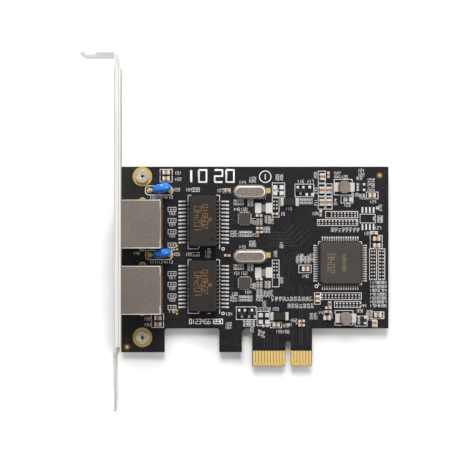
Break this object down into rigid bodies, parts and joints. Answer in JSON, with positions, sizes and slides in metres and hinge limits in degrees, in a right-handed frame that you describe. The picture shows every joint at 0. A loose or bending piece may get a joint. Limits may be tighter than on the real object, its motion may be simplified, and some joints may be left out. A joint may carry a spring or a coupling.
{
  "type": "network interface card",
  "caption": "Network card for a one-lane slot: black circuit board with gold edge contacts, a tall folded steel bracket, shielded jacks, transformers, crystals and a flat controller chip.",
  "frame": {"origin": "middle of the card's box seen from above, on the surface that it lies on with its component side up", "axes": "+Z out of the component side, +Y along the bracket towards its tab, +X along the board away from the bracket"},
  "size_m": [0.1036, 0.12, 0.0184],
  "materials": {
    "plated_steel": "bright nickel plating with a fine rolled grain",
    "screw_steel": "bright zinc plating",
    "board_laminate": "black solder mask over woven laminate, semi-gloss",
    "gold_plate": "thin gold plating, polished",
    "tinned_shield": "satin tinned sheet",
    "jack_plastic": "moulded, fine matt",
    "green_lens": "clear tinted moulding",
    "amber_lens": "clear tinted moulding",
    "chip_moulding": "moulding compound, fine grain",
    "transformer_moulding": "moulding compound, fine grain",
    "tinned_lead": "tinned, satin",
    "can_steel": "drawn can, satin nickel",
    "blue_lacquer": "dipped lacquer, glossy",
    "ferrite": "sintered, fine matt",
    "copper_wire": "lacquered wire, satin",
    "capacitor_ceramic": "sintered, satin",
    "small_chip_ceramic": "sintered, satin"
  },
  "bodies": {
    "root": {"bracket": "plated_steel", "bracket_screws": "screw_steel", "circuit_board": "board_laminate", "edge_contacts": "gold_plate", "link_lamp_windows": "green_lens", "activity_lamp_windows": "amber_lens", "controller_chip": "chip_moulding", "controller_leads": "tinned_lead", "inductor_cores": "ferrite", "inductor_windings": "copper_wire", "inductor_terminals": "tinned_lead", "diode_bodies": "chip_moulding", "diode_terminals": "tinned_lead", "transistor_bodies": "chip_moulding", "transistor_leads": "tinned_lead", "regulator_bodies": "chip_moulding", "regulator_leads": "tinned_lead", "large_chip_bodies": "capacitor_ceramic", "large_chip_ends": "tinned_lead", "medium_chips": "capacitor_ceramic", "small_chips": "small_chip_ceramic", "upper_jack_shield": "tinned_shield", "upper_jack_housing": "jack_plastic", "upper_jack_contacts": "gold_plate", "upper_transformer": "transformer_moulding", "upper_transformer_leads": "tinned_lead", "upper_port_chip": "chip_moulding", "upper_crystal": "can_steel", "upper_disc_capacitor": "blue_lacquer", "upper_disc_capacitor_leads": "tinned_lead", "lower_jack_shield": "tinned_shield", "lower_jack_housing": "jack_plastic", "lower_jack_contacts": "gold_plate", "lower_transformer": "transformer_moulding", "lower_transformer_leads": "tinned_lead", "lower_port_chip": "chip_moulding", "lower_crystal": "can_steel", "lower_disc_capacitor": "blue_lacquer", "lower_disc_capacitor_leads": "tinned_lead"}
  },
  "joints": []
}
